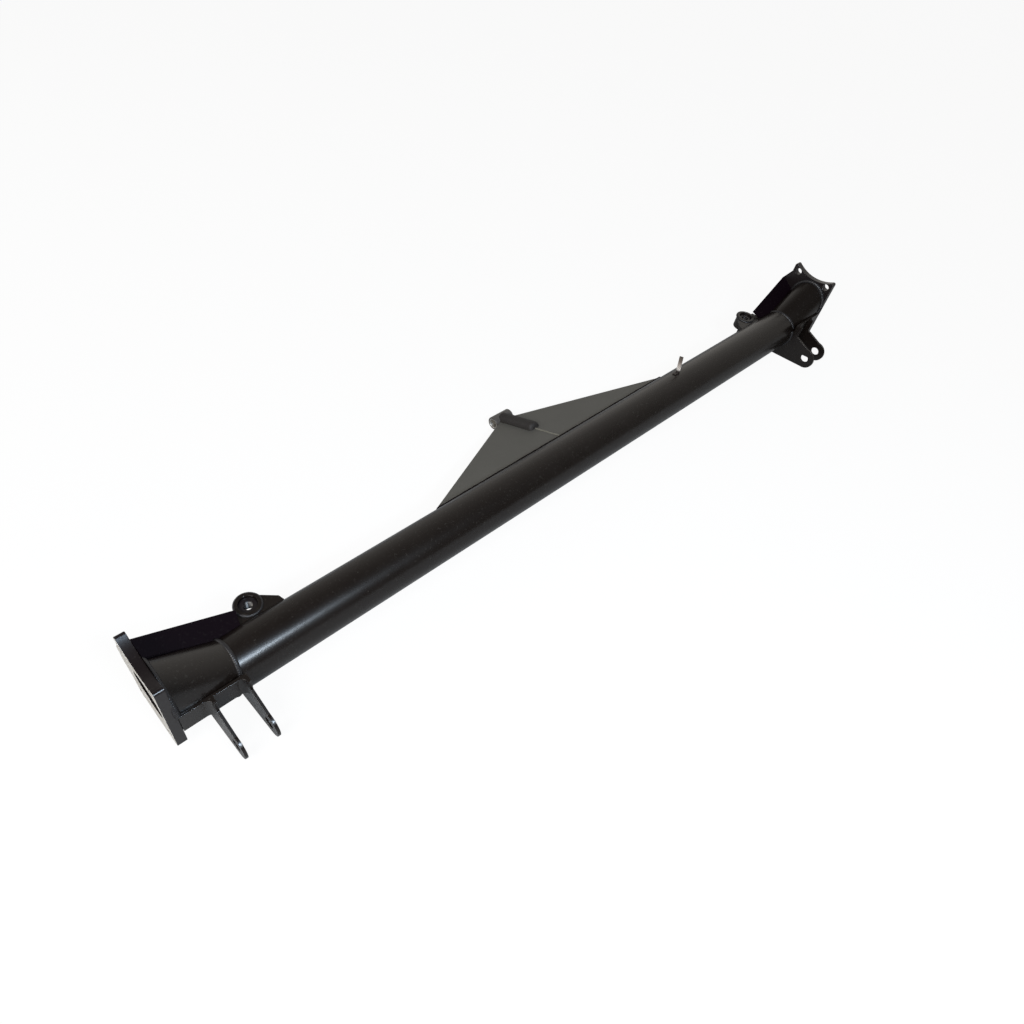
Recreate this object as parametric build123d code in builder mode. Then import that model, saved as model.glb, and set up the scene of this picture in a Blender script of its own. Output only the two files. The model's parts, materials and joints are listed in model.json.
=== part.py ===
"""De Dion tube: a welded axle tube with hub flanges, radius-arm lugs, damper mounts and an A-frame plate.

The tube lies across the car along X, with the right-hand side at +X. Its cross-section is drawn in two
car directions: forward, towards the hub cut-outs, and up, towards the radius-arm lugs. The part lies as
it comes to rest on a floor, on the A-frame sleeve and the tips of the radius-arm lugs, so the car's
forward direction points almost straight up. The origin is on the floor, at the middle of the outline.
"""
import os
from math import asin, atan2, cos, degrees, hypot, radians, sin, sqrt, tan

from build123d import *

os.makedirs("parts", exist_ok=True)

# Main tube and stubs, drawn tube of 2 1/4 inch
tube_od = 57.15
tube_wall = 3.25
face_to_face = 1143.0
knee_setback = 69.5
stub_forward = 36.5
tube_radius = tube_od / 2
tube_bore_radius = tube_radius - tube_wall
face_x = face_to_face / 2
knee_x = face_x - knee_setback
knee_angle = degrees(atan2(stub_forward, knee_setback))

# Hub flange, sizes measured forward and up from the tube's axis
flange_thickness = 10.0
flange_front = 80.5
flange_back = -28.0
flange_top = 29.5
flange_bottom = -43.0
flange_horn_length = 17.0
flange_flare = 10.0
flange_flare_front = 46.0
flange_flare_back = 20.0
flange_flare_run = 14.0
flange_corner = 3.0
cutout_depth = 12.5
bolt_hole_dia = 10.5
bolt_edge = 13.0
bolt_pitch_up = 53.0
bolt_pitch_forward = 81.5
flange_bore_margin = 1.0
flange_middle = (flange_top + flange_bottom) / 2
flange_inner_x = face_x - flange_thickness

# Radius-arm lugs, two folded plates a side
lug_thickness = 3.2
lug_inboard_of_knee = 6.0
lug_gap = 31.0
lug_hole_dia = 13.0
lug_tip_radius = 16.0
lug_hole_up = 65.4
lug_hole_forward = -18.0
lug_front_base = 11.0
lug_back_base = -41.0
lug_skirt_up = 12.0
lug_foot_front = 25.0
lug_foot_back = -3.0
lug_bend_radius = 7.0
lug_inner_x = knee_x - lug_inboard_of_knee
lug_outer_x = lug_inner_x + lug_gap + lug_thickness
lug_outer_foot = flange_inner_x - lug_outer_x - lug_thickness / 2

# Damper bracket and boss
boss_x = 452.0
boss_od = 26.9
boss_bore_dia = 20.0
boss_front = 15.0
boss_length = 20.0
insert_length = 14.0
insert_tap_dia = 10.2
insert_recess = 3.0
bracket_thickness = 3.2
bracket_forward = 11.5
bracket_inboard_x = 417.0
bracket_outboard_x = 478.0
bracket_inboard_up = -33.0
bracket_boss_up = -45.3
bracket_outboard_up = -41.0
bracket_return_lean = 5.0
bracket_return_length = 24.0
bracket_boss_edge = 437.0
bracket_shoulder_x = 473.0
boss_seat = 0.6

# Gusset between the damper boss and the flange
gusset_thickness = 3.0
gusset_gap = 1.0
gusset_start_forward = 20.5
gusset_start_up = -39.0
gusset_end_forward = 46.0
gusset_depth = 40.0
gusset_start_x = boss_x + boss_od / 2 + gusset_gap

# A-frame plate, its sleeve and the rib along its middle
plate_thickness = 3.0
plate_half_base = 214.0
plate_foot_forward = 4.2
sleeve_forward = -49.5
sleeve_up = -137.3
sleeve_od = 19.05
sleeve_bore_dia = 12.7
sleeve_length = 32.0
plate_half_tip = 8.0
plate_land = 2.5
rib_nose = 5.0
rib_length = 62.0
rib_radius = sleeve_od / 2

# Brake pipe clip, its angle measured down from straight ahead
clip_x = 219.0
clip_angle = 18.0
clip_width = 6.0
clip_thickness = 1.5
clip_reach = 22.0
clip_lean = 7.0
clip_foot = 9.0
clip_bend_radius = 2.0
clip_bed = 0.3

# Weld beads
bead_radius = 2.6
bead_sink = 0.8
flange_bead_radius = 3.4
small_bead_radius = 1.8
mitre_weld_start = 14.0
mitre_weld_sweep = 318.0
lug_weld_start = 66.0
lug_weld_sweep = 100.0
outer_weld_start = 94.0
outer_weld_sweep = 76.0

# The floor touches the sleeve and the lug tips: their circles share one tangent, which sets the tilt
contact_forward = sleeve_forward - lug_hole_forward
contact_up = lug_hole_up - sleeve_up
contact_span = hypot(contact_forward, contact_up)
sleeve_radius = sleeve_od / 2
tilt = asin((sleeve_radius - lug_tip_radius) / contact_span) - atan2(contact_forward, contact_up)
forward = Vector(0, -sin(tilt), cos(tilt))
up = Vector(0, -cos(tilt), -sin(tilt))
lateral = Vector(1, 0, 0)
axis_z = lug_tip_radius - lug_hole_forward * cos(tilt) + lug_hole_up * sin(tilt)
front_reach = lug_hole_forward * sin(tilt) + lug_hole_up * cos(tilt) + lug_tip_radius
rear_reach = -sleeve_forward * sin(tilt) - sleeve_up * cos(tilt) + sleeve_radius
axis_y = (front_reach - rear_reach) / 2


def place(x, ahead, above):
    """Point at x across the car, ahead of and above the tube's axis."""
    return Vector(x, axis_y, axis_z) + forward * ahead + up * above


def station(x):
    """Cross-section plane at x: its local x points forward and its local y points up in the car."""
    return Plane(origin=place(x, 0, 0), x_dir=forward, z_dir=lateral)


def upright(ahead):
    """Plane facing forward: its local x points inboard from +X and its local y points up in the car."""
    return Plane(origin=place(0, ahead, 0), x_dir=-lateral, z_dir=forward)


def stub_centre(x):
    """How far ahead of the tube's axis the stub's axis is at x."""
    return (x - knee_x) * tan(radians(knee_angle))


def save(piece, name):
    """Label a finished piece and write it to its own file."""
    piece.part.label = name
    export_step(piece.part, f"parts/{name}.step")


def save_pair(piece, name):
    """Write the right-hand piece and its mirror image on the left."""
    save(piece, f"{name}_right")
    with BuildPart() as left_piece:
        mirror(piece.part, about=Plane.YZ)
    save(left_piece, f"{name}_left")


def bead_ring(plane, half_width, half_height, radius, start=0.0, sweep_angle=360.0):
    """Round bead swept along an ellipse, or an arc of one, that lies on the given plane."""
    with BuildPart() as ring:
        with BuildLine(plane) as route:
            EllipticalCenterArc((0, 0), half_width, half_height, start_angle=start, arc_size=sweep_angle)
        with BuildSketch(Plane(origin=route.line @ 0, z_dir=route.line % 0)):
            Circle(radius)
        sweep(path=route.line)
    return ring.part


stub_direction = lateral * cos(radians(knee_angle)) + forward * sin(radians(knee_angle))
mitre_normal = lateral * cos(radians(knee_angle / 2)) + forward * sin(radians(knee_angle / 2))
knee = place(knee_x, 0, 0)
mitre = Plane(origin=knee, x_dir=up, z_dir=mitre_normal)
stub_plane = Plane(origin=knee, x_dir=up, z_dir=stub_direction)
stub_reach = 2 * knee_setback
flange_plane = station(flange_inner_x)

# Solid bars the size of the tubes, for shaping what is welded to them
with BuildPart() as tube_bar:
    with BuildSketch(station(0)):
        Circle(tube_radius)
    extrude(amount=face_x, both=True)
    split(bisect_by=mitre, keep=Keep.BOTTOM)
with BuildPart() as stub_bar:
    with BuildSketch(stub_plane):
        Circle(tube_radius)
    extrude(amount=stub_reach, both=True)
    split(bisect_by=mitre, keep=Keep.TOP)
with BuildPart() as steel_bar:
    add(tube_bar.part)
    add(stub_bar.part)

# Main tube, mitred at both ends to meet the stubs
with BuildPart() as main_tube:
    with BuildSketch(station(0)):
        Circle(tube_radius)
        Circle(tube_bore_radius, mode=Mode.SUBTRACT)
    extrude(amount=face_x, both=True)
    split(bisect_by=mitre, keep=Keep.BOTTOM)
    mirror(about=Plane.YZ, mode=Mode.INTERSECT)
save(main_tube, "main_tube")

# End stub, the same tube turned forward to the hub flange
with BuildPart() as end_stub:
    with BuildSketch(stub_plane):
        Circle(tube_radius)
        Circle(tube_bore_radius, mode=Mode.SUBTRACT)
    extrude(amount=stub_reach, both=True)
    split(bisect_by=mitre, keep=Keep.TOP)
    split(bisect_by=flange_plane, keep=Keep.BOTTOM)
save_pair(end_stub, "end_stub")

# Hub flange: a machined plate with two horns either side of a round cut-out for the hub
horn_half = (flange_top - flange_bottom) / 2
cutout_radius = (horn_half**2 + cutout_depth**2) / (2 * cutout_depth)
flange_bore_radius = tube_bore_radius - flange_bore_margin
bolt_forward = flange_front - bolt_edge
with BuildPart() as hub_flange:
    with BuildSketch(flange_plane) as flange_outline:
        with BuildLine():
            Polyline(
                (flange_front, flange_bottom),
                (flange_front - flange_horn_length, flange_bottom),
                (flange_flare_front, flange_bottom - flange_flare),
                (flange_flare_back, flange_bottom - flange_flare),
                (flange_flare_back - flange_flare_run, flange_bottom),
                (flange_back, flange_bottom),
                (flange_back, flange_top),
                (flange_front, flange_top),
            )
            RadiusArc((flange_front, flange_bottom), (flange_front, flange_top), cutout_radius)
        make_face()
        fillet(flange_outline.vertices(), flange_corner)
        with Locations((stub_centre(face_x - flange_thickness / 2), 0)):
            Circle(flange_bore_radius, mode=Mode.SUBTRACT)
        bolt_rows = [bolt_forward, bolt_forward - bolt_pitch_forward]
        bolt_columns = [flange_middle - bolt_pitch_up / 2, flange_middle + bolt_pitch_up / 2]
        with Locations([(row, column) for row in bolt_rows for column in bolt_columns]):
            Circle(bolt_hole_dia / 2, mode=Mode.SUBTRACT)
    extrude(amount=flange_thickness)
save_pair(hub_flange, "hub_flange")


def radius_arm_lug(x, foot_length):
    """Folded lug whose upright plate stands at x and whose foot runs outboard along the tube."""
    foot_base = tube_radius
    near_face = x - lug_thickness / 2
    with BuildPart() as lug:
        with BuildSketch(station(near_face)) as profile:
            with BuildLine():
                Polyline(
                    (lug_front_base, 0),
                    (lug_front_base, foot_base),
                    (lug_hole_forward + lug_tip_radius, lug_hole_up),
                )
                ThreePointArc(
                    (lug_hole_forward + lug_tip_radius, lug_hole_up),
                    (lug_hole_forward, lug_hole_up + lug_tip_radius),
                    (lug_hole_forward - lug_tip_radius, lug_hole_up),
                )
                Polyline(
                    (lug_hole_forward - lug_tip_radius, lug_hole_up),
                    (lug_back_base, lug_skirt_up),
                    (lug_hole_forward, 0),
                    (lug_front_base, 0),
                )
            make_face()
        extrude(amount=lug_thickness)
        hole_centre = place(near_face, lug_hole_forward, lug_hole_up)
        with Locations(Plane(origin=hole_centre, x_dir=forward, z_dir=lateral)):
            Hole(lug_hole_dia / 2)
        foot_face = Plane(origin=place(0, lug_foot_back, 0), x_dir=lateral, z_dir=forward)
        with BuildSketch(foot_face):
            with BuildLine():
                Polyline(
                    (near_face, -foot_base),
                    (near_face + lug_thickness + foot_length, -foot_base),
                    (near_face + lug_thickness + foot_length, -foot_base - lug_thickness),
                    (near_face + lug_thickness + lug_bend_radius, -foot_base - lug_thickness),
                )
                RadiusArc(
                    (near_face + lug_thickness + lug_bend_radius, -foot_base - lug_thickness),
                    (near_face + lug_thickness, -foot_base - lug_thickness - lug_bend_radius),
                    -lug_bend_radius,
                )
                Polyline(
                    (near_face + lug_thickness, -foot_base - lug_thickness - lug_bend_radius),
                    (near_face, -foot_base - lug_thickness - lug_bend_radius),
                    (near_face, -foot_base),
                )
            make_face()
        extrude(amount=lug_foot_front - lug_foot_back)
        add(steel_bar.part, mode=Mode.SUBTRACT)
    return lug


lug_inner = radius_arm_lug(lug_inner_x, lug_gap)
lug_outer = radius_arm_lug(lug_outer_x, lug_outer_foot)
save_pair(lug_inner, "radius_arm_lug_inner")
save_pair(lug_outer, "radius_arm_lug_outer")

# Damper bracket: a web across the car below the tube, folded back at its inboard end
boss_up = -(tube_radius + boss_od / 2 - boss_seat)
bracket_front = upright(bracket_forward + bracket_thickness / 2)
boss_front_plane = Plane(origin=place(boss_x, boss_front, boss_up), x_dir=-lateral, z_dir=forward)
with BuildPart() as damper_bracket:
    with BuildSketch(bracket_front):
        with BuildLine():
            Polyline(
                (-bracket_inboard_x, 0),
                (-bracket_inboard_x, -tube_radius / 2),
                (-bracket_inboard_x - bracket_return_lean, bracket_inboard_up),
                (-bracket_boss_edge, bracket_boss_up),
                (-bracket_shoulder_x, bracket_outboard_up),
                (-bracket_outboard_x, -tube_radius / 2),
                (-bracket_outboard_x, 0),
                close=True,
            )
        make_face()
    extrude(amount=-bracket_thickness)
    with BuildSketch(bracket_front):
        with BuildLine():
            Polyline(
                (-bracket_inboard_x, -tube_radius / 2),
                (-bracket_inboard_x - bracket_return_lean, bracket_inboard_up),
                (-bracket_inboard_x - bracket_return_lean - bracket_thickness, bracket_inboard_up),
                (-bracket_inboard_x - bracket_thickness, -tube_radius / 2),
                close=True,
            )
        make_face()
    extrude(amount=-bracket_return_length)
    with BuildSketch(boss_front_plane):
        Circle(boss_od / 2)
    extrude(amount=-boss_length, mode=Mode.SUBTRACT)
    add(steel_bar.part, mode=Mode.SUBTRACT)
save_pair(damper_bracket, "damper_bracket")

# Damper boss: a short tube through the bracket, coped to sit on the underside of the main tube
with BuildPart() as damper_boss:
    with BuildSketch(boss_front_plane):
        Circle(boss_od / 2)
        Circle(boss_bore_dia / 2, mode=Mode.SUBTRACT)
    extrude(amount=-boss_length)
    add(steel_bar.part, mode=Mode.SUBTRACT)
save_pair(damper_boss, "damper_boss")

# Threaded insert pressed into the boss, left bare
with BuildPart() as damper_insert:
    with BuildSketch(boss_front_plane.offset(-insert_recess)):
        Circle(boss_bore_dia / 2)
        Circle(insert_tap_dia / 2, mode=Mode.SUBTRACT)
    extrude(amount=-insert_length)
save_pair(damper_insert, "damper_insert")

# Mitre weld: a bead round the joint between the main tube and the stub
bead_line = tube_radius - bead_sink
with BuildPart() as mitre_weld:
    mitre_line = bead_line / cos(radians(knee_angle / 2))
    add(bead_ring(mitre, bead_line, mitre_line, bead_radius, mitre_weld_start, mitre_weld_sweep))
    add(steel_bar.part, mode=Mode.SUBTRACT)
    add(lug_inner.part, mode=Mode.SUBTRACT)
    add(lug_outer.part, mode=Mode.SUBTRACT)
save_pair(mitre_weld, "mitre_weld")

# Gusset: a flat plate from the damper boss to the flange, standing off the tube
gusset_end_up = flange_bottom - flange_flare
gusset_start = place(gusset_start_x, gusset_start_forward, gusset_start_up)
gusset_end = place(flange_inner_x, gusset_end_forward, gusset_end_up)
gusset_edge = gusset_end - gusset_start
gusset_length = gusset_edge.length
gusset_normal = gusset_edge.cross(place(gusset_start_x, 0, 0) - gusset_start)
gusset_plane = Plane(origin=gusset_start, x_dir=gusset_edge, z_dir=gusset_normal)
with BuildPart() as gusset:
    with BuildSketch(gusset_plane) as gusset_outline:
        with BuildLine():
            Polyline(
                (0, 0),
                (gusset_length + gusset_depth, 0),
                (gusset_length + gusset_depth, gusset_depth),
                (0, gusset_depth),
                close=True,
            )
        make_face()
    extrude(amount=gusset_thickness / 2, both=True)
    split(bisect_by=flange_plane, keep=Keep.BOTTOM)
    add(steel_bar.part, mode=Mode.SUBTRACT)
    add(damper_bracket.part, mode=Mode.SUBTRACT)
    add(damper_boss.part, mode=Mode.SUBTRACT)
    add(mitre_weld.part, mode=Mode.SUBTRACT)
save_pair(gusset, "flange_gusset")

# A-frame plate: a flat triangle that slopes down and back from the tube to the sleeve
plate_foot = place(0, plate_foot_forward, -sqrt(tube_radius**2 - plate_foot_forward**2))
sleeve_centre = place(0, sleeve_forward, sleeve_up)
plate_run = sleeve_centre - plate_foot
plate_length = plate_run.length
plate_middle = Plane(origin=plate_foot, x_dir=lateral, z_dir=lateral.cross(plate_run))
plate_top = plate_middle.offset(plate_thickness / 2)
sleeve_plane = Plane(origin=sleeve_centre, x_dir=forward, z_dir=lateral)
with BuildPart() as sleeve_bar:
    with BuildSketch(sleeve_plane):
        Circle(sleeve_radius)
    extrude(amount=sleeve_length / 2, both=True)
with BuildPart() as a_frame_plate:
    with BuildSketch(plate_middle):
        with BuildLine():
            Polyline(
                (-plate_half_base, -plate_land),
                (-plate_half_base, plate_land),
                (-plate_half_tip, plate_length - sleeve_radius + plate_land),
                (plate_half_tip, plate_length - sleeve_radius + plate_land),
                (plate_half_base, plate_land),
                (plate_half_base, -plate_land),
                close=True,
            )
        make_face()
    extrude(amount=plate_thickness / 2, both=True)
    add(tube_bar.part, mode=Mode.SUBTRACT)
    add(sleeve_bar.part, mode=Mode.SUBTRACT)
save(a_frame_plate, "a_frame_plate")

# A-frame sleeve: a short tube across the car, its ends left bare
with BuildPart() as a_frame_sleeve:
    with BuildSketch(sleeve_plane):
        Circle(sleeve_radius)
        Circle(sleeve_bore_dia / 2, mode=Mode.SUBTRACT)
    extrude(amount=sleeve_length / 2, both=True)
save(a_frame_sleeve, "a_frame_sleeve")

# Rib: a half-round bar along the middle of the plate, its blunt nose rounded over
rib_start = plate_length - sleeve_radius - rib_length
rib_end = Plane(origin=plate_top.from_local_coords((0, rib_start, 0)), x_dir=lateral, z_dir=plate_run)
with BuildPart() as a_frame_rib:
    with BuildSketch(rib_end):
        Circle(rib_radius)
    extrude(amount=rib_length + sleeve_radius / 2)
    rib_rims = a_frame_rib.edges().filter_by(GeomType.CIRCLE).sort_by(Axis(rib_end.origin, plate_run))
    fillet(rib_rims[0], rib_nose)
    split(bisect_by=plate_top, keep=Keep.TOP)
    add(sleeve_bar.part, mode=Mode.SUBTRACT)
save(a_frame_rib, "a_frame_rib")

# Seam bead on the middle of the plate, from the rib to the tube
with BuildPart() as a_frame_seam:
    with BuildSketch(Plane(origin=plate_top.origin, x_dir=lateral, z_dir=plate_run)):
        Circle(small_bead_radius)
    extrude(amount=rib_start)
    split(bisect_by=plate_top, keep=Keep.TOP)
    add(a_frame_rib.part, mode=Mode.SUBTRACT)
    add(tube_bar.part, mode=Mode.SUBTRACT)
save(a_frame_seam, "a_frame_seam")


def plate_bead(face, name):
    """Fillet bead along the tube on one face of the A-frame plate."""
    bead_end = Plane(origin=face.from_local_coords((-plate_half_base, 0, 0)), x_dir=up, z_dir=lateral)
    with BuildPart() as bead:
        with BuildSketch(bead_end):
            Circle(bead_radius)
        extrude(amount=2 * plate_half_base)
        add(tube_bar.part, mode=Mode.SUBTRACT)
        add(a_frame_plate.part, mode=Mode.SUBTRACT)
        add(a_frame_seam.part, mode=Mode.SUBTRACT)
    save(bead, name)


plate_bead(plate_top, "a_frame_weld_front")
plate_bead(plate_middle.offset(-plate_thickness / 2), "a_frame_weld_rear")

# Brake pipe clip: a soft steel strip welded on by its foot, its free end still open for the pipe
clip_out = forward * cos(radians(clip_angle)) - up * sin(radians(clip_angle))
clip_seat = place(clip_x, 0, 0) + clip_out * (tube_radius + clip_thickness / 2 - clip_bed)
clip_side = Plane(origin=clip_seat, x_dir=lateral, z_dir=lateral.cross(clip_out))
with BuildPart() as pipe_clip:
    with BuildSketch(clip_side):
        with BuildLine() as strip:
            FilletPolyline((-clip_foot, 0), (0, 0), (clip_lean, clip_reach), radius=clip_bend_radius)
        trace(strip.line, line_width=clip_thickness)
    extrude(amount=clip_width / 2, both=True)
    add(tube_bar.part, mode=Mode.SUBTRACT)
save(pipe_clip, "pipe_clip")

# Flange weld: a heavier fillet bead round the stub against the inner face of the flange
stub_half_width = tube_radius / cos(radians(knee_angle))
flange_ring_centre = place(flange_inner_x, stub_centre(flange_inner_x), 0)
flange_ring = Plane(origin=flange_ring_centre, x_dir=forward, z_dir=lateral)
with BuildPart() as flange_weld:
    add(bead_ring(flange_ring, stub_half_width, tube_radius, flange_bead_radius))
    split(bisect_by=flange_plane, keep=Keep.BOTTOM)
    add(stub_bar.part, mode=Mode.SUBTRACT)
    add(gusset.part, mode=Mode.SUBTRACT)
    add(lug_outer.part, mode=Mode.SUBTRACT)
save_pair(flange_weld, "flange_weld")

# Lug welds: a bead along the inboard face of each lug where it straddles the tube
inner_ring = station(lug_inner_x - lug_thickness / 2)
with BuildPart() as lug_weld_inner:
    add(bead_ring(inner_ring, tube_radius, tube_radius, bead_radius, lug_weld_start, lug_weld_sweep))
    add(steel_bar.part, mode=Mode.SUBTRACT)
    add(lug_inner.part, mode=Mode.SUBTRACT)
    add(mitre_weld.part, mode=Mode.SUBTRACT)
save_pair(lug_weld_inner, "lug_weld_inner")
outer_face_x = lug_outer_x - lug_thickness / 2
outer_ring = Plane(origin=place(outer_face_x, stub_centre(outer_face_x), 0), x_dir=forward, z_dir=lateral)
with BuildPart() as lug_weld_outer:
    add(bead_ring(outer_ring, stub_half_width, tube_radius, bead_radius, outer_weld_start, outer_weld_sweep))
    add(steel_bar.part, mode=Mode.SUBTRACT)
    add(lug_outer.part, mode=Mode.SUBTRACT)
    add(lug_inner.part, mode=Mode.SUBTRACT)
save_pair(lug_weld_outer, "lug_weld_outer")

# Damper weld: a small bead round the boss on the front of the bracket
boss_ring_centre = place(boss_x, bracket_forward + bracket_thickness / 2, boss_up)
boss_ring = Plane(origin=boss_ring_centre, x_dir=lateral, z_dir=-forward)
with BuildPart() as damper_weld:
    add(bead_ring(boss_ring, boss_od / 2, boss_od / 2, small_bead_radius))
    split(bisect_by=bracket_front, keep=Keep.TOP)
    add(damper_boss.part, mode=Mode.SUBTRACT)
    add(damper_insert.part, mode=Mode.SUBTRACT)
    add(steel_bar.part, mode=Mode.SUBTRACT)
    add(gusset.part, mode=Mode.SUBTRACT)
save_pair(damper_weld, "damper_weld")
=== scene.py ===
"""De Dion tube on a pale floor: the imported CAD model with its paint, weld beads and bare metal.

Lengths are in metres, in the frame of the CAD model, and in millimetres where a name ends in _mm or a
comment says so. The tube lies along X. The car's forward direction points almost straight up, and its up
direction points towards -Y.
"""
import json

import bmesh
import bpy
import numpy as np
from mathutils import Matrix, Vector


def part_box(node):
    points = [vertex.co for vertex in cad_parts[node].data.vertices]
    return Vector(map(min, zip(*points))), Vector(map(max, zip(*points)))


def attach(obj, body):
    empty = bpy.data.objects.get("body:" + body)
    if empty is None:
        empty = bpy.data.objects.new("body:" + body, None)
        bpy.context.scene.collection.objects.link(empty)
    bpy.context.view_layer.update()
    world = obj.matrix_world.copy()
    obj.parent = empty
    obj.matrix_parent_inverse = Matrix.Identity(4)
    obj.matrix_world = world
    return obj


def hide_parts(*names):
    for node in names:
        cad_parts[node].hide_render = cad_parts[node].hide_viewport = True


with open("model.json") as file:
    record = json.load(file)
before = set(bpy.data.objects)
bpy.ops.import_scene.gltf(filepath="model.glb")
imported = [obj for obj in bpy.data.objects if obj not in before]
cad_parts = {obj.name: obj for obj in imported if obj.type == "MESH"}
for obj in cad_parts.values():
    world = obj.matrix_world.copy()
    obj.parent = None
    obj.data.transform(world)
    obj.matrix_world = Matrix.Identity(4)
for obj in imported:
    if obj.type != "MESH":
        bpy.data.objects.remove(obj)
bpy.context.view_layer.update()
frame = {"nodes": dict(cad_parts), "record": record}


# Main tube and end stubs: drawn steel tube, cut at a mitre and turned forward to the hub flanges.
# Satin black powder coat, baked on: a soft dark sheen in broad clouds, with a faint orange peel close up.
def linear(hex_colour):
    """Linear RGBA of an sRGB hex colour."""
    c = np.array([int(hex_colour[i:i + 2], 16) for i in (0, 2, 4)]) / 255
    rgb = np.where(c <= 0.04045, c / 12.92, ((c + 0.055) / 1.055) ** 2.4)
    return (*rgb, 1.0)


def node(tree, kind, settings=(), **links):
    """Adds a shader node. Settings go to its sockets or properties, and links feed its sockets.

    A socket goes by its name, or by its place as in_6 where sockets share a name.
    """
    made = tree.nodes.new(kind)

    def socket(name):
        return made.inputs[int(name[3:])] if name.startswith("in_") else made.inputs.get(name)

    for name, value in dict(settings).items():
        target = socket(name)
        if target is None:
            setattr(made, name, value)
        else:
            target.default_value = value
    for name, source in links.items():
        tree.links.new(source, socket(name))
    return made


def powder_coat(name, dark, light, roughness, peel_mm=3.2, peel_depth_mm=0.006, shine=0.5, dust=0.12):
    """Powder coat: clouds of 45 mm from the dark to the light shade, which the roughness follows.

    Dust lies on it in grains of 2.8 mm. Real grains are finer, and these are as coarse as they need to be
    to show. The orange peel is a bump of the given width and depth.
    """
    cloud_m, grain_m, dust_shade = 0.045, 0.0028, "5b5853"
    material = bpy.data.materials.new(name)
    material.use_nodes = True
    tree = material.node_tree
    tree.nodes.clear()
    place = node(tree, "ShaderNodeTexCoord").outputs["Object"]
    cloud = node(tree, "ShaderNodeTexNoise", {"Scale": 1 / cloud_m, "Detail": 4.0, "Roughness": 0.55},
                 Vector=place).outputs["Fac"]
    grain = node(tree, "ShaderNodeTexNoise", {"Scale": 1 / grain_m, "Detail": 1.0, "Roughness": 0.6},
                 Vector=place).outputs["Fac"]
    peel = node(tree, "ShaderNodeTexNoise", {"Scale": 1000 / peel_mm, "Detail": 1.5},
                Vector=place).outputs["Fac"]
    shades = {"data_type": "RGBA", "in_6": linear(dark), "in_7": linear(light)}
    colour = node(tree, "ShaderNodeMix", shades, in_0=cloud).outputs[2]
    settled = node(tree, "ShaderNodeMapRange", {"From Min": 0.62, "From Max": 0.76, "To Max": dust},
                   Value=grain)
    dusty = node(tree, "ShaderNodeMix", {"data_type": "RGBA", "in_7": linear(dust_shade)},
                 in_0=settled.outputs["Result"], in_6=colour).outputs[2]
    sheen = node(tree, "ShaderNodeMapRange", {"To Min": roughness - 0.05, "To Max": roughness + 0.07},
                 Value=cloud)
    bump = node(tree, "ShaderNodeBump", {"Strength": 0.5, "Distance": peel_depth_mm / 1000}, Height=peel)
    paint = node(tree, "ShaderNodeBsdfPrincipled", {"Specular IOR Level": shine},
                 Roughness=sheen.outputs["Result"], Normal=bump.outputs["Normal"], **{"Base Color": dusty})
    node(tree, "ShaderNodeOutputMaterial", Surface=paint.outputs["BSDF"])
    return material


def smooth_object(name, mesh, material, slot, *replaced):
    """Links a mesh as a piece that rides on the root body, shaded smooth up to edges of 50 degrees."""
    mesh.materials.clear()
    mesh.materials.append(material)
    mesh.shade_smooth()
    mesh.set_sharp_from_angle(angle=np.radians(50))
    made = bpy.data.objects.new(name, mesh)
    made.modifiers.new("flat_faces", "WEIGHTED_NORMAL").keep_sharp = True
    bpy.context.scene.collection.objects.link(made)
    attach(made, "root")
    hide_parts(*replaced)
    return made


def eased(name, material, slot, edge_mm=0.35):
    """Stands in for a CAD node with the same mesh, its sharp edges eased by a small round."""
    same_place, flat_angle, sharp_angle = 1e-6, np.radians(0.3), np.radians(38)
    shape = bmesh.new()
    shape.from_mesh(frame["nodes"][name].data)
    bmesh.ops.remove_doubles(shape, verts=shape.verts, dist=same_place)
    bmesh.ops.dissolve_limit(shape, angle_limit=flat_angle, verts=shape.verts, edges=shape.edges)
    sharp = [e for e in shape.edges if len(e.link_faces) == 2 and e.calc_face_angle() > sharp_angle]
    bmesh.ops.bevel(shape, geom=sharp, offset=edge_mm / 1000, segments=2, profile=0.5, affect="EDGES",
                    clamp_overlap=False)
    mesh = bpy.data.meshes.new(name + "_eased")
    shape.to_mesh(mesh)
    shape.free()
    return smooth_object(name + "_eased", mesh, material, slot, name)


tube_paint = powder_coat("satin_black_powder_coat", "110c0a", "17120f", 0.265)
for piece in ("main_tube", "end_stub_left", "end_stub_right"):
    eased(piece, tube_paint, "tube_black", 0.3)


# Hub flanges: 10 mm steel plate under the same coat, its outer face turned flat for the hub and left bare.
# Turned steel shows rings round the bore, in patches that handling has left brighter or duller.
# The damper's thread runs along the car's forward direction, so its mount tells how the part lies.
damper_mount = next(m for m in frame["record"]["mounts"] if m["name"] == "damper_thread_right")
ahead_y, ahead_z = damper_mount["axis"][1:]
axis_y, axis_z = np.mean(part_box("main_tube"), axis=0)[1:]


def from_line(tree, place, line_y, line_z):
    """Distance from a line along X: the length of the place's Y and Z offsets from it."""
    offset = node(tree, "ShaderNodeMapping", {"Location": (0, -line_y, -line_z), "Scale": (0, 1, 1)},
                  Vector=place)
    length = node(tree, "ShaderNodeVectorMath", {"operation": "LENGTH"}, in_0=offset.outputs[0])
    return length.outputs["Value"]


def coat_parts(material):
    """The node tree of a coat and the socket of its object coordinates."""
    tree = material.node_tree
    return tree, next(n for n in tree.nodes if n.type == "TEX_COORD").outputs["Object"]


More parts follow.
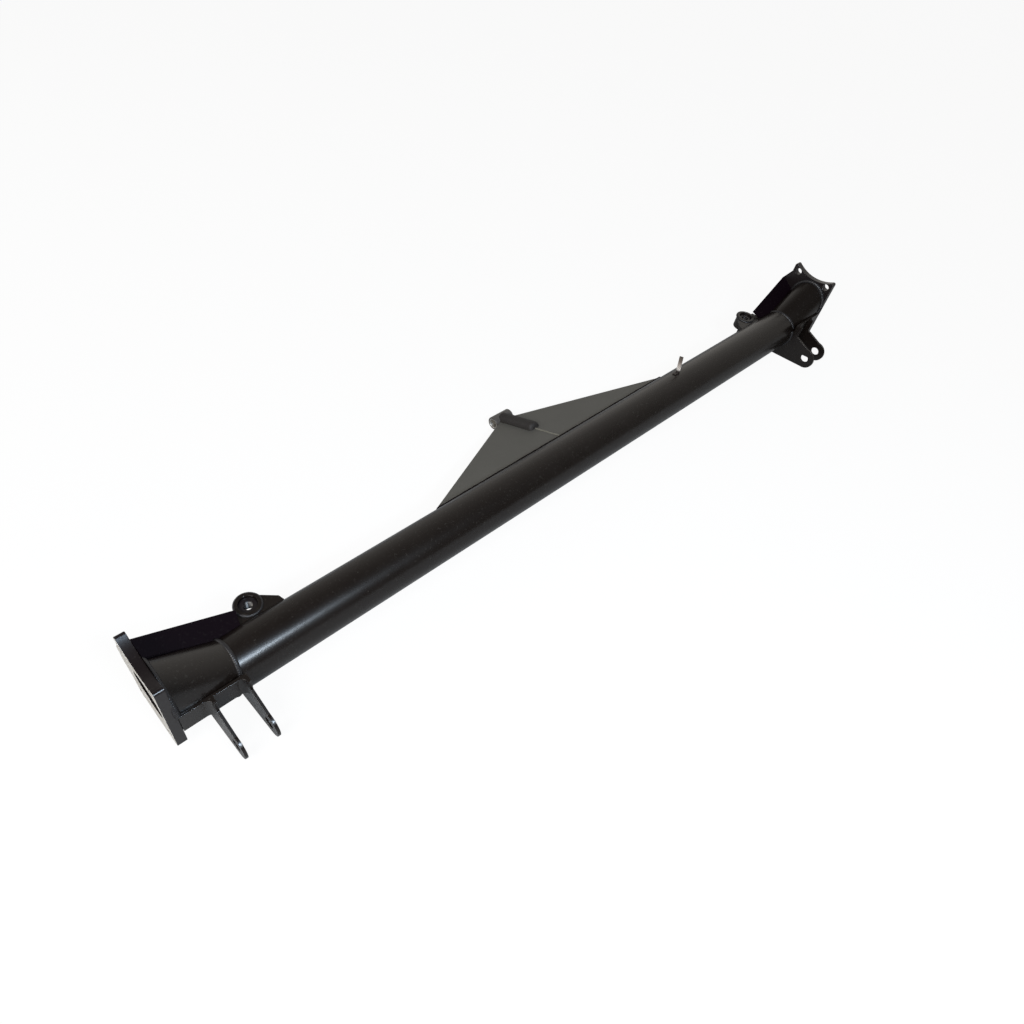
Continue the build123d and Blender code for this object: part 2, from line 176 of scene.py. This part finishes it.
def lay_bare(material, mask, metallic, settings=(), **links):
    """Shows bare steel through a coat where the mask is 1, with the steel's own settings and links."""
    tree = material.node_tree
    paint = next(n for n in tree.nodes if n.type == "BSDF_PRINCIPLED")
    output = next(n for n in tree.nodes if n.type == "OUTPUT_MATERIAL")
    steel = node(tree, "ShaderNodeBsdfPrincipled", {"Metallic": metallic, **dict(settings)}, **links)
    both = node(tree, "ShaderNodeMixShader", in_0=mask, in_1=paint.outputs[0], in_2=steel.outputs[0])
    tree.links.new(both.outputs[0], output.inputs["Surface"])


flange_finish = powder_coat("powder_coat_and_machined_steel", "110c0d", "171112", 0.28)
tree, place = coat_parts(flange_finish)
machined_from = 0.57125  # a quarter of a millimetre under the outer face
bore_ahead = 0.0366  # the bore's middle in that face, ahead of the tube's axis
ring_m, handling_m = 0.0022, 0.022
across = node(tree, "ShaderNodeSeparateXYZ", in_0=place).outputs["X"]
from_middle = node(tree, "ShaderNodeMath", {"operation": "ABSOLUTE"}, in_0=across).outputs[0]
machined = node(tree, "ShaderNodeMath", {"operation": "GREATER_THAN", "in_1": machined_from},
                in_0=from_middle)
# Real turning marks are a tenth as wide as these rings, which are as coarse as they need to be to show.
from_bore = from_line(tree, place, axis_y + bore_ahead * ahead_y, axis_z + bore_ahead * ahead_z)
turned = node(tree, "ShaderNodeTexNoise",
              {"noise_dimensions": "1D", "Scale": 1 / ring_m, "Detail": 3.0, "Roughness": 0.7},
              W=from_bore).outputs["Fac"]
handled = node(tree, "ShaderNodeTexNoise", {"Scale": 1 / handling_m, "Detail": 5.0, "Roughness": 0.6},
               Vector=place).outputs["Fac"]
wear = node(tree, "ShaderNodeMath", {"operation": "MULTIPLY"}, in_0=turned, in_1=handled).outputs[0]
bright = node(tree, "ShaderNodeMapRange", {"From Min": 0.14, "From Max": 0.36}, Value=wear).outputs["Result"]
shade = node(tree, "ShaderNodeMix", {"data_type": "RGBA", "in_6": linear("bdb8ae"), "in_7": linear("f0eee9")},
             in_0=bright).outputs[2]
rough = node(tree, "ShaderNodeMapRange", {"To Min": 0.55, "To Max": 0.36}, Value=bright).outputs["Result"]
marks = node(tree, "ShaderNodeBump", {"Strength": 0.4, "Distance": 0.00003}, Height=turned).outputs["Normal"]
lay_bare(flange_finish, machined.outputs[0], 0.25, Roughness=rough, Normal=marks, **{"Base Color": shade})
for side in ("left", "right"):
    eased(f"hub_flange_{side}", flange_finish, "flange_finish", 0.5)


# Radius-arm lugs, gussets, damper brackets and bosses: folded or sheared steel under the same coat. Their
# edges are eased a little, so that the paint shows a thin light line along them. The gussets' coat is drawn
# nearly black and hardly glossy: painted shade between the tube and the flange.
painted_shade_coat = powder_coat("black_coat_painted_as_shade", "0a0308", "0f060c", 0.5, shine=0.05, dust=0.05)
for side in ("left", "right"):
    for piece in ("radius_arm_lug_inner", "radius_arm_lug_outer", "damper_bracket", "damper_boss"):
        eased(f"{piece}_{side}", tube_paint, "tube_black")
    eased(f"flange_gusset_{side}", painted_shade_coat, "tube_black")


# Brake pipe clip: a strip of soft zinc-plated steel, spot-welded to the tube and bent by hand.
# Dull zinc: dark at the foot, a painted highlight in a bright band above it, and brownish towards the tip.
foot_m, tip_m = 0.0285, 0.0505
patch_m, patch_share = 0.004, 0.16
clip_plating = bpy.data.materials.new("dull_zinc_plating")
clip_plating.use_nodes = True
tree = clip_plating.node_tree
place = node(tree, "ShaderNodeTexCoord").outputs["Object"]
patches = node(tree, "ShaderNodeTexNoise", {"Scale": 1 / patch_m, "Detail": 3.0}, Vector=place).outputs["Fac"]
reach = node(tree, "ShaderNodeMapRange",
             {"From Min": foot_m, "From Max": tip_m, "To Min": -0.08, "To Max": 0.92},
             Value=from_line(tree, place, axis_y, axis_z)).outputs["Result"]
patchy_reach = node(tree, "ShaderNodeMath", {"operation": "MULTIPLY_ADD", "in_1": patch_share},
              in_0=patches, in_2=reach)
# The ramp's bright band, a little above the foot, is a painted highlight.
tone_and_painted_highlight = node(tree, "ShaderNodeValToRGB", in_0=patchy_reach.outputs[0])
tone_and_painted_highlight.color_ramp.elements[0].color = linear("2a2422")
tone_and_painted_highlight.color_ramp.elements[1].color = linear("5d534c")
for height, shade in ((0.12, "2a2422"), (0.22, "e2dad2"), (0.42, "c9beb5"), (0.72, "756a62")):
    tone_and_painted_highlight.color_ramp.elements.new(height).color = linear(shade)
rough = node(tree, "ShaderNodeMapRange", {"To Min": 0.5, "To Max": 0.32}, Value=patches)
plating = tree.nodes["Principled BSDF"]
plating.inputs["Metallic"].default_value = 0.4
tree.links.new(tone_and_painted_highlight.outputs["Color"], plating.inputs["Base Color"])
tree.links.new(rough.outputs["Result"], plating.inputs["Roughness"])
eased("pipe_clip", clip_plating, "tube_black", 0.2)


# Damper inserts: turned steel with an M12 thread cut through, pressed into each boss before painting.
# The coat runs over them, and the screw has since rubbed the thread's crests and the front rim bright.
def car_turn(x, ahead, above):
    """A car direction in the model's frame: y = ahead times ahead_y less above times ahead_z, and z alike."""
    x, ahead, above = np.broadcast_arrays(x, ahead, above)
    return np.stack([x, ahead * ahead_y - above * ahead_z, ahead * ahead_z + above * ahead_y], -1)


def car(x, ahead, above):
    """Points of the model in metres, from millimetres across, ahead of and above the tube's axis."""
    return car_turn(x, ahead, above) / 1000 + (0, axis_y, axis_z)


def grid_mesh(name, points, caps=False):
    """Quads over a grid of points, closed across the second direction, with the ends capped if asked."""
    rows, columns = points.shape[:2]
    index = np.arange(rows * columns).reshape(rows, columns)
    following = np.roll(index, -1, axis=1)
    quads = np.stack([index[:-1], index[1:], following[1:], following[:-1]], -1).reshape(-1, 4).tolist()
    if caps:
        quads += [index[0].tolist(), index[-1][::-1].tolist()]
    mesh = bpy.data.meshes.new(name)
    mesh.from_pydata(points.reshape(-1, 3).tolist(), [], quads)
    shape = bmesh.new()
    shape.from_mesh(mesh)
    bmesh.ops.recalc_face_normals(shape, faces=shape.faces)
    shape.to_mesh(mesh)
    shape.free()
    return mesh


rubbed_paint = powder_coat("powder_coat_rubbed_to_steel", "110d0f", "1a1416", 0.3)
tree, place = coat_parts(rubbed_paint)
rubbed = node(tree, "ShaderNodeAttribute", {"attribute_name": "rubbed"}).outputs["Fac"]
flecks = node(tree, "ShaderNodeTexNoise", {"Scale": 1 / 0.0024, "Detail": 2.0}, Vector=place).outputs["Fac"]
worn = node(tree, "ShaderNodeMath", {"operation": "MULTIPLY"}, in_0=rubbed, in_1=flecks).outputs[0]
gone = node(tree, "ShaderNodeMath", {"operation": "GREATER_THAN", "in_1": 0.58}, in_0=worn).outputs[0]
lay_bare(rubbed_paint, gone, 1.0, {"Base Color": linear("cbc4bd")})

boss_mm, front_mm, boss_above_mm = 452, 12, -41.425
length_mm, pitch_mm, tap_mm, groove_mm, runout_mm = 14, 1.75, 5.1, 0.85, 0.8
mouth_depth_mm = 0.6
body_mm = [[6.4, 14], [9.5, 14], [9.98, 13.5], [9.98, 0.5], [9.5, 0], [6.4, 0]]  # radius and depth
bore_rows = 142
for side, sign in (("left", -1), ("right", 1)):
    # The bore's radius rises and falls with depth plus turn, which winds the groove into a helix.
    turn = np.linspace(0, 2 * np.pi, 72, endpoint=False)[None, :]
    depth = np.linspace(0, length_mm, bore_rows)[:, None]
    phase = np.abs((depth / pitch_mm + turn / (2 * np.pi)) % 1 - 0.5) * 2
    runout = np.clip(np.minimum(depth, length_mm - depth) / runout_mm, 0, 1)
    bore = tap_mm + groove_mm * np.clip(1.25 * phase - 0.125, 0, 1) * runout
    body = np.array(body_mm)[:, :, None] + 0 * turn
    radii = np.concatenate([bore, body[:, 0], bore[:1]])
    depths = np.concatenate([depth + 0 * turn, body[:, 1], 0 * turn])
    depths[[0, -1]] = mouth_depth_mm
    depths[bore_rows - 1] = length_mm - mouth_depth_mm
    points = car(sign * (boss_mm + radii * np.cos(turn)), front_mm - depths,
                 boss_above_mm + radii * np.sin(turn))
    mesh = grid_mesh(f"threaded_insert_{side}", points)
    crests = np.clip((5.5 - radii) / 0.3, 0, 1)
    front_rim = np.clip(1 - np.abs(radii - 9.6) / 0.3, 0, 1) * (depths < 1)
    rubbed_at = (crests + front_rim).astype(np.float32).ravel()
    mesh.attributes.new("rubbed", "FLOAT", "POINT").data.foreach_set("value", rubbed_at)
    smooth_object(f"threaded_insert_{side}", mesh, rubbed_paint, "bare_insert", f"damper_insert_{side}")


# A-frame plate, rib and sleeve: sheet steel with a half-round rib, which carries a short sleeve. They wear
# the tube's black coat, drawn as a matte grey on the plate and sleeve and a darker grey on the rib: painted
# light for the light they catch. The ends of the sleeve are faced after painting, which leaves a bright ring
# of bare steel.
plate_coat_painted_light = powder_coat("black_coat_painted_grey_as_lit", "484742", "55534e", 0.6, peel_mm=2.4, peel_depth_mm=0.03,
                          dust=0.3)
rib_coat_painted_light = powder_coat("black_coat_painted_lighter_as_lit", "242120", "2c2927", 0.62, shine=0.3)
eased("a_frame_plate", plate_coat_painted_light, "plate_black")
eased("a_frame_rib", rib_coat_painted_light, "tube_black", 0.2)

# The sleeve's coat is drawn grey like the plate's: painted light.
sleeve_coat_painted_light = powder_coat("coat_painted_light_and_faced_steel_rim", "45423f", "504c49", 0.42)
faced_within = 0.0073
tree, place = coat_parts(sleeve_coat_painted_light)
from_sleeve = from_line(tree, place, *np.mean(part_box("a_frame_sleeve"), axis=0)[1:])
faced = node(tree, "ShaderNodeMath", {"operation": "LESS_THAN", "in_1": faced_within}, in_0=from_sleeve)
lay_bare(sleeve_coat_painted_light, faced.outputs[0], 1.0, {"Base Color": linear("cfccc6")})
eased("a_frame_sleeve", sleeve_coat_painted_light, "sleeve_finish", 0.6)


# Weld beads: laid by hand along each joint, with the ripples that every dab of the torch leaves. The coat
# runs thin over them, so its sheen breaks up on the ripples. The plate's seam is drawn light grey: a painted
# highlight along it.
weld_paint = powder_coat("powder_coat_over_weld", "161518", "1f1d1e", 0.4, peel_mm=2.2)
seam_coat_painted_highlight = powder_coat("powder_coat_painted_as_seam_highlight", "5f5c54", "6c6960", 0.55)
step_mm = 0.3


def bead(name, line, outward, replaced, radius, closed=False, pitch=2.1, material=weld_paint):
    """Rippled bead along a line in millimetres.

    Its radius falls a little over each ripple, as the ripple's phase to the power of one and a half, and
    swells slowly along the run. The phase is the run over the pitch, put forward where the section faces
    outward, which makes the ripple's edge a crescent. An open bead ends in a quarter of a circle.
    """
    line, outward = np.asarray(line, float), np.asarray(outward, float)
    ahead = np.gradient(line, axis=0)
    if closed:
        ahead = np.roll(line, -1, axis=0) - np.roll(line, 1, axis=0)
    ahead /= np.linalg.norm(ahead, axis=1, keepdims=True)
    outward = outward - ahead * np.sum(outward * ahead, axis=1, keepdims=True)
    outward /= np.linalg.norm(outward, axis=1, keepdims=True)
    aside = np.cross(ahead, outward)
    run = np.concatenate([[0], np.cumsum(np.linalg.norm(np.diff(line, axis=0), axis=1))])
    total = run[-1] + (np.linalg.norm(line[0] - line[-1]) if closed else 0)
    count = max(3, round(total / pitch))
    spin = np.linspace(0, 2 * np.pi, 20, endpoint=False)[None, :]
    ripple = (run[:, None] / total * count + 0.45 * np.cos(spin)) % 1
    swell = 0.04 * np.sin(run[:, None] / 7.3 + 1.1) + 0.03 * np.sin(run[:, None] / 3.1)
    width = radius * (1 - 0.13 * ripple**1.5 + swell)
    if not closed:
        near_end = np.minimum(run, total - run)[:, None]
        width = width * np.sqrt(np.clip(1 - np.clip(1 - near_end / radius, 0, 0.98) ** 2, 0, 1))
    section = np.cos(spin)[..., None] * outward[:, None] + np.sin(spin)[..., None] * aside[:, None]
    points = line[:, None] + width[..., None] * section
    if closed:
        points = np.concatenate([points, points[:1]])
    smooth_object(name, grid_mesh(name, points / 1000, caps=not closed), material, "weld_black", replaced)


def arc(first, last, radius):
    """Angles in radians from first to last, in degrees, one step apart on that radius."""
    count = int(abs(np.radians(last - first)) * radius / step_mm)
    return np.radians(np.linspace(first, last, count, endpoint=abs(last - first) < 360))


# All in millimetres. The mitre bead follows the knee's slanting cut, a little sunk in the tube's surface.
knee_mm, knee_slope, sunk_mm = 502, 0.24656, 27.775
# The other beads round the tube or the stub lie on ellipses: the joint's place across, the ellipse's middle
# ahead and its half axes ahead and above, the first and last angle, and the radius that sets the steps.
rings = (
    ("flange_weld", 561.3, 31.25, 32.6, 28.9, 0, 360, 30, {"radius": 3.2, "closed": True, "pitch": 2.6}),
    ("lug_weld_inner", 494.4, 0, 28.4, 28.4, 66, 166, 28, {"radius": 2.5}),
    ("lug_weld_outer", 528.6, 13.97, 32.1, 28.4, 94, 170, 30, {"radius": 2.5}),
)
boss_ring_mm, boss_face_mm = 13.45, 13.1
lean = 0.7  # how far a bead leans into its corner, for each unit that it faces out of the joint
for side, sign in (("left", -1), ("right", 1)):
    angle = arc(14, 332, 28)
    line = car(sign * (knee_mm + sunk_mm * knee_slope * np.sin(angle)), -sunk_mm * np.sin(angle),
               sunk_mm * np.cos(angle)) * 1000
    outward = car_turn(0, -np.sin(angle), np.cos(angle))
    bead(f"mitre_bead_{side}", line, outward, f"mitre_weld_{side}", 2.6)

    for weld, joint, middle, half_ahead, half_above, first, last, step_radius, form in rings:
        angle = arc(first, last, step_radius)
        line = car(sign * joint, middle + half_ahead * np.cos(angle), half_above * np.sin(angle)) * 1000
        outward = car_turn(-lean * sign, np.cos(angle), np.sin(angle))
        bead(f"{weld.replace('weld', 'bead')}_{side}", line, outward, f"{weld}_{side}", **form)

    angle = arc(0, 360, 13)
    line = car(sign * (boss_mm + boss_ring_mm * np.cos(angle)), boss_face_mm,
               boss_above_mm + boss_ring_mm * np.sin(angle)) * 1000
    outward = car_turn(sign * np.cos(angle), lean, np.sin(angle))
    bead(f"damper_bead_{side}", line, outward, f"damper_weld_{side}", 1.8, closed=True, pitch=1.8)

# The plate's foot and the sleeve's axis, ahead and above, give the plate's slope and its face's direction.
foot_mm, sleeve_mm = np.array([4.2, -28.265]), np.array([-49.5, -137.3])
half_plate_mm, plate_bead_mm, seam_mm = 1.5, 214, 51
slope = (sleeve_mm - foot_mm) / np.linalg.norm(sleeve_mm - foot_mm)
face = np.array([-slope[1], slope[0]])
across = np.arange(-plate_bead_mm, plate_bead_mm + 0.1, step_mm)
# The plate's beads take the gussets' near-black coat: a dark line of painted shade along the plate's foot.
for name, sign in (("front", 1), ("rear", -1)):
    line = car(across, *(foot_mm + half_plate_mm * sign * face)) * 1000
    outward = car_turn(0, *(sign * face + 0.6 * slope))
    bead(f"plate_bead_{name}", line, np.tile(outward, (len(across), 1)), f"a_frame_weld_{name}", 2.5,
         pitch=2.4, material=painted_shade_coat)
down = np.arange(0, seam_mm, step_mm)
start = foot_mm + half_plate_mm * face
line = car(0, start[0] + down * slope[0], start[1] + down * slope[1]) * 1000
bead("seam_bead", line, np.tile(car_turn(0, *face), (len(down), 1)), "a_frame_seam", 1.4, pitch=1.8,
     material=seam_coat_painted_highlight)


# Floor and backdrop: pale paper that the camera sees as white, with a faint shadow where the part lies.
# It is darker for other rays, so that it doesn't light the part from below, and glows a little in gloss.
floor_reach = 20
seen_pale, seen_dim = (0.9, 0.9, 0.9, 1), (0.3, 0.3, 0.3, 1)
camera_glow, gloss_glow = 0.93, 0.15
corners = [(-floor_reach, -floor_reach, 0), (floor_reach, -floor_reach, 0),
           (floor_reach, floor_reach, 0), (-floor_reach, floor_reach, 0)]
floor_mesh = bpy.data.meshes.new("floor")
floor_mesh.from_pydata(corners, [], [(0, 1, 2, 3)])
floor = bpy.data.objects.new("floor", floor_mesh)
bpy.context.scene.collection.objects.link(floor)
floor_paper = bpy.data.materials.new("floor_paper")
floor_paper.use_nodes = True
tree = floor_paper.node_tree
tree.nodes.clear()
rays = node(tree, "ShaderNodeLightPath").outputs
colour = node(tree, "ShaderNodeMix", {"data_type": "RGBA", "in_6": seen_dim, "in_7": seen_pale},
              in_0=rays["Is Camera Ray"])
matte = node(tree, "ShaderNodeBsdfDiffuse", Color=colour.outputs[2])
glow = node(tree, "ShaderNodeEmission", {"Color": (1, 1, 1, 1), "Strength": 1.0})
to_camera = node(tree, "ShaderNodeMath", {"operation": "MULTIPLY", "in_1": camera_glow},
                 in_0=rays["Is Camera Ray"])
share = node(tree, "ShaderNodeMath", {"operation": "MULTIPLY_ADD", "in_1": gloss_glow},
             in_0=rays["Is Glossy Ray"], in_2=to_camera.outputs[0])
seen = node(tree, "ShaderNodeMixShader", in_0=share.outputs[0], in_1=matte.outputs[0], in_2=glow.outputs[0])
node(tree, "ShaderNodeOutputMaterial", Surface=seen.outputs[0])
floor_mesh.materials.append(floor_paper)

# The studio's walls: white to the camera. To the part they are brighter towards +X and a little towards +Y,
# which gives the tube its soft change of tone along its length.
wall_way = (0.65, 0.3, 0)
world = bpy.data.worlds.new("studio")
bpy.context.scene.world = world
world.use_nodes = True
tree = world.node_tree
tree.nodes.clear()
to_camera = node(tree, "ShaderNodeLightPath").outputs["Is Camera Ray"]
way = node(tree, "ShaderNodeTexCoord").outputs["Generated"]
towards = node(tree, "ShaderNodeVectorMath", {"operation": "DOT_PRODUCT", "in_1": wall_way}, in_0=way)
wall_glow = node(tree, "ShaderNodeMapRange",
                 {"From Min": 0.2, "From Max": 0.72, "To Min": 0.08, "To Max": 0.8},
                 Value=towards.outputs["Value"])
white = node(tree, "ShaderNodeBackground", {"Color": (1, 1, 1, 1), "Strength": 0.96})
walls = node(tree, "ShaderNodeBackground", {"Color": (1, 0.96, 0.9, 1)}, Strength=wall_glow.outputs["Result"])
seen = node(tree, "ShaderNodeMixShader", in_0=to_camera, in_1=walls.outputs[0], in_2=white.outputs[0])
node(tree, "ShaderNodeOutputWorld", Surface=seen.outputs[0])


# Lamps: a wide key from the left, a weak lamp behind the camera, a narrow cool panel that draws the bright
# line on the near end of the tube, and a small cool lamp on the horn of the near flange.
def panel(name, place, target, size, power, colour):
    """Soft rectangular light that faces a point, with its longer side along X."""
    light = bpy.data.lights.new(name, "AREA")
    light.shape = "RECTANGLE"
    light.size, light.size_y = size
    light.energy = power
    light.color = colour
    made = bpy.data.objects.new(name, light)
    towards = (Vector(target) - Vector(place)).normalized()
    across = (Vector((1, 0, 0)) - towards * towards.x).normalized()
    turn = Matrix((across, across.cross(towards), -towards)).transposed()
    made.matrix_world = Matrix.Translation(place) @ turn.to_4x4()
    bpy.context.scene.collection.objects.link(made)


panel("key", (-1.9, -0.7, 1.5), (-0.2, 0, 0), (1.2, 1.2), 45, (1, 0.98, 0.96))
panel("back_lamp", (-1.6, 1.9, 1.3), (0, 0, 0), (1.6, 1.0), 12, (1, 0.98, 0.96))
panel("softbox", (-0.4, -1.075, 0.99), (-0.45, 0, 0.04), (0.42, 0.15), 11.8, (0.76, 0.88, 1))
panel("horn_lamp", (-0.49, -0.92, 1.1), (-0.566, -0.01, 0.116), (0.12, 0.12), 4.0, (0.6, 0.78, 1))

# Camera: the photograph's place and view, solved from the tube's outline and the knees. Its place is in
# millimetres and its right, up and back directions in columns, all across, ahead and above as in the car.
camera_place_mm = (-606.08, 681.568, 369.864)
right_up_back = ((0.72025, 0.45857, -0.52053), (0.14849, 0.63105, 0.76140), (0.67764, -0.62570, 0.38642))
camera_data = bpy.data.cameras.new("camera")
camera_data.lens = 26.02
camera_data.sensor_width = 36.0
camera = bpy.data.objects.new("camera", camera_data)
camera.matrix_world = Matrix.Translation(car(*camera_place_mm)) @ Matrix(car_turn(*right_up_back).T).to_4x4()
bpy.context.scene.collection.objects.link(camera)
bpy.context.scene.camera = camera
bpy.context.scene.view_settings.view_transform = "Standard"
